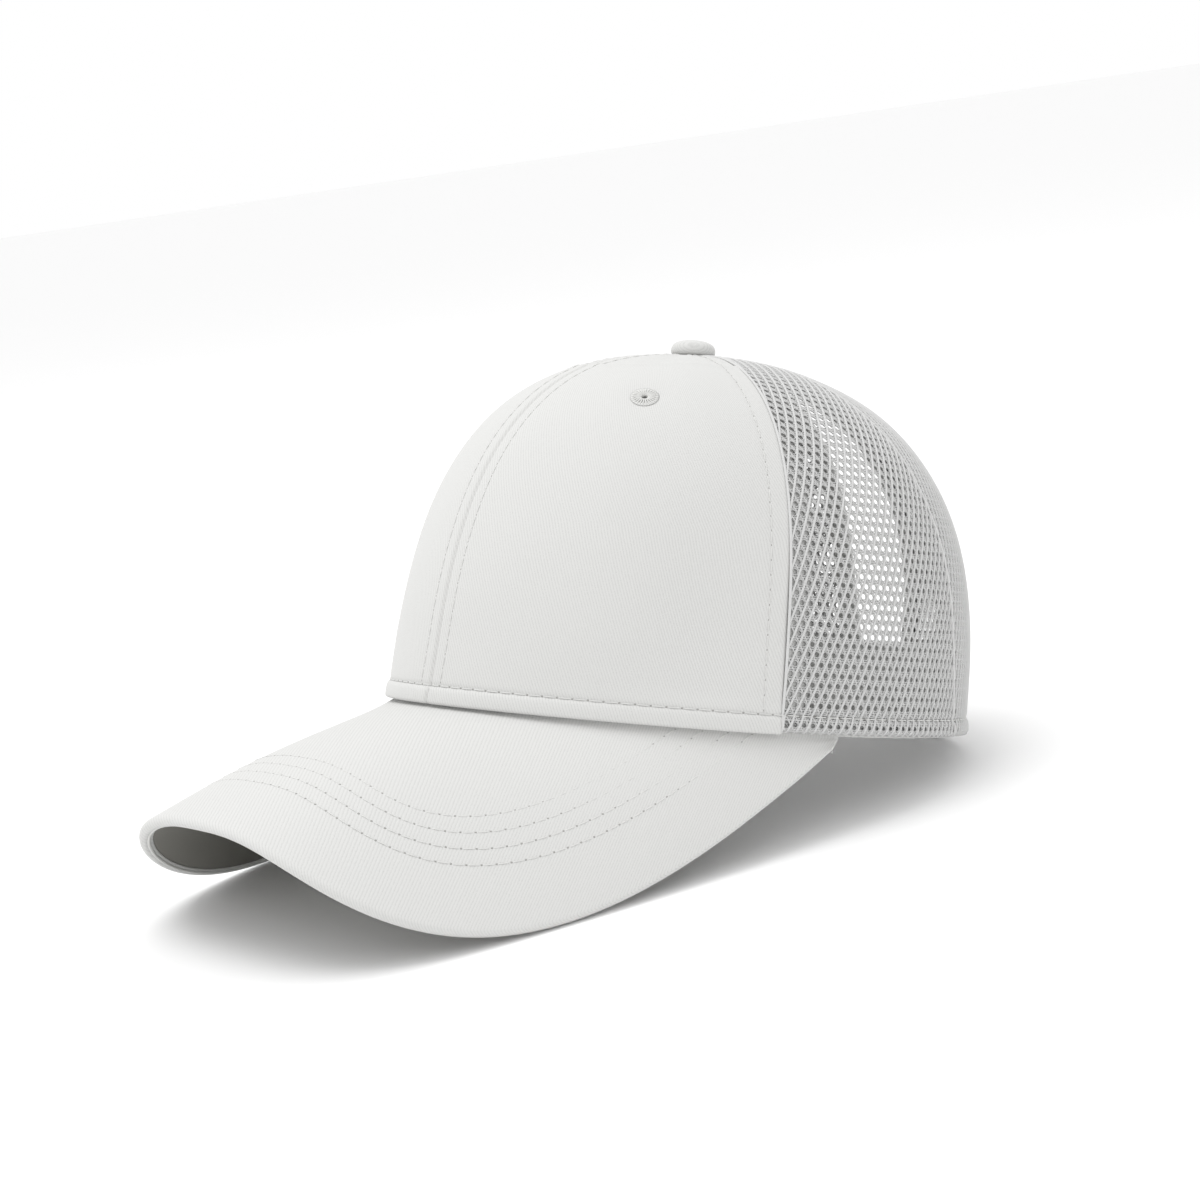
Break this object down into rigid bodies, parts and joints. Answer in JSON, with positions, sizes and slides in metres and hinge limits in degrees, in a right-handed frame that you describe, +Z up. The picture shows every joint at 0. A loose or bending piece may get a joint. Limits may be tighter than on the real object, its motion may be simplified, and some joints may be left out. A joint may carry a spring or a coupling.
{
  "type": "ponytail baseball cap",
  "caption": "White baseball cap with twill front panels and visor, net sides and back, and an upright tape-edged opening for a ponytail.",
  "frame": {"origin": "on the surface that the cap rests on, under the middle of its bounding box", "axes": "+Z up, -Y the way the visor points, +X to the right as seen from the front"},
  "size_m": [0.1802, 0.2884, 0.1481],
  "materials": {
    "cotton_twill": "white cotton twill with a fine diagonal rib, matt",
    "visor_twill": "white cotton twill over a stiff board, in stitched rows",
    "visor_underside": "white twill on the shaded underside",
    "net": "open white polyester net with six-sided holes",
    "binding_tape": "folded white twill tape, stitched along both edges",
    "seam_tape": "soft white woven tape",
    "sweatband_cloth": "soft white cotton band",
    "thread": "white sewing thread"
  },
  "bodies": {
    "root": {"front_panel_left": "cotton_twill", "front_panel_right": "cotton_twill", "side_mesh_left": "net", "side_mesh_right": "net", "back_mesh_left": "net", "back_mesh_right": "net", "binding_left": "binding_tape", "binding_right": "binding_tape", "side_tape_left": "seam_tape", "side_tape_right": "seam_tape", "back_tape_left": "seam_tape", "back_tape_right": "seam_tape", "sweatband": "sweatband_cloth", "visor_top": "visor_twill", "visor_under": "visor_underside", "button": "cotton_twill", "eyelet_left": "thread", "eyelet_right": "thread"}
  },
  "joints": []
}
